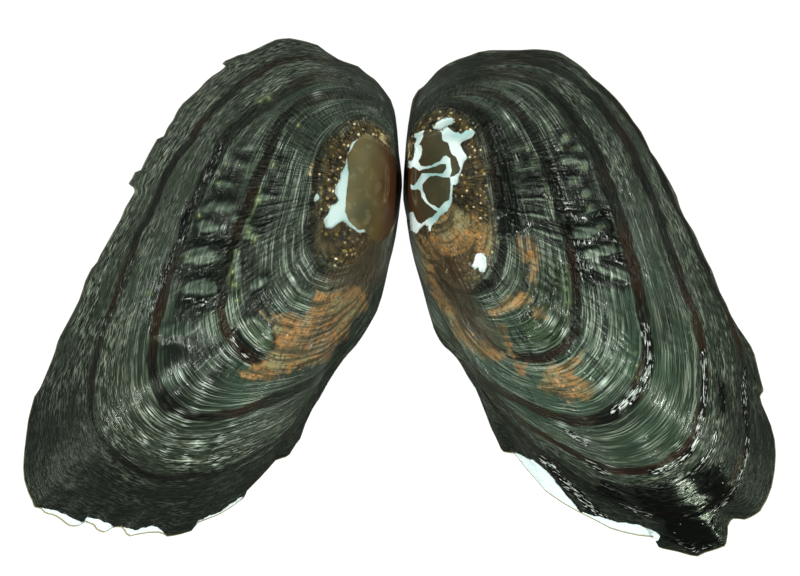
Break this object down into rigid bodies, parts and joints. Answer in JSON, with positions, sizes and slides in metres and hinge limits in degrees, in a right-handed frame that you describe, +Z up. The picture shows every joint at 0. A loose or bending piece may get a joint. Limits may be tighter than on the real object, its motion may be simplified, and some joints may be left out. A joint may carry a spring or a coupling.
{
  "type": "mussel shell",
  "caption": "Freshwater mussel shell laid open: long domed valves with dark ridged skin outside and smooth hollows inside, lying rims down and meeting at their beaks.",
  "frame": {"origin": "centre of the bounding box's bottom, on the surface the shell lies on", "axes": "+X from the left valve to the right valve, +Y towards the front ends of both valves, +Z up out of the domes"},
  "size_m": [0.2412, 0.1661, 0.0318],
  "materials": {
    "mussel_skin": "satin"
  },
  "bodies": {
    "root": {"left_valve": "mussel_skin", "right_valve": "mussel_skin"}
  },
  "joints": []
}
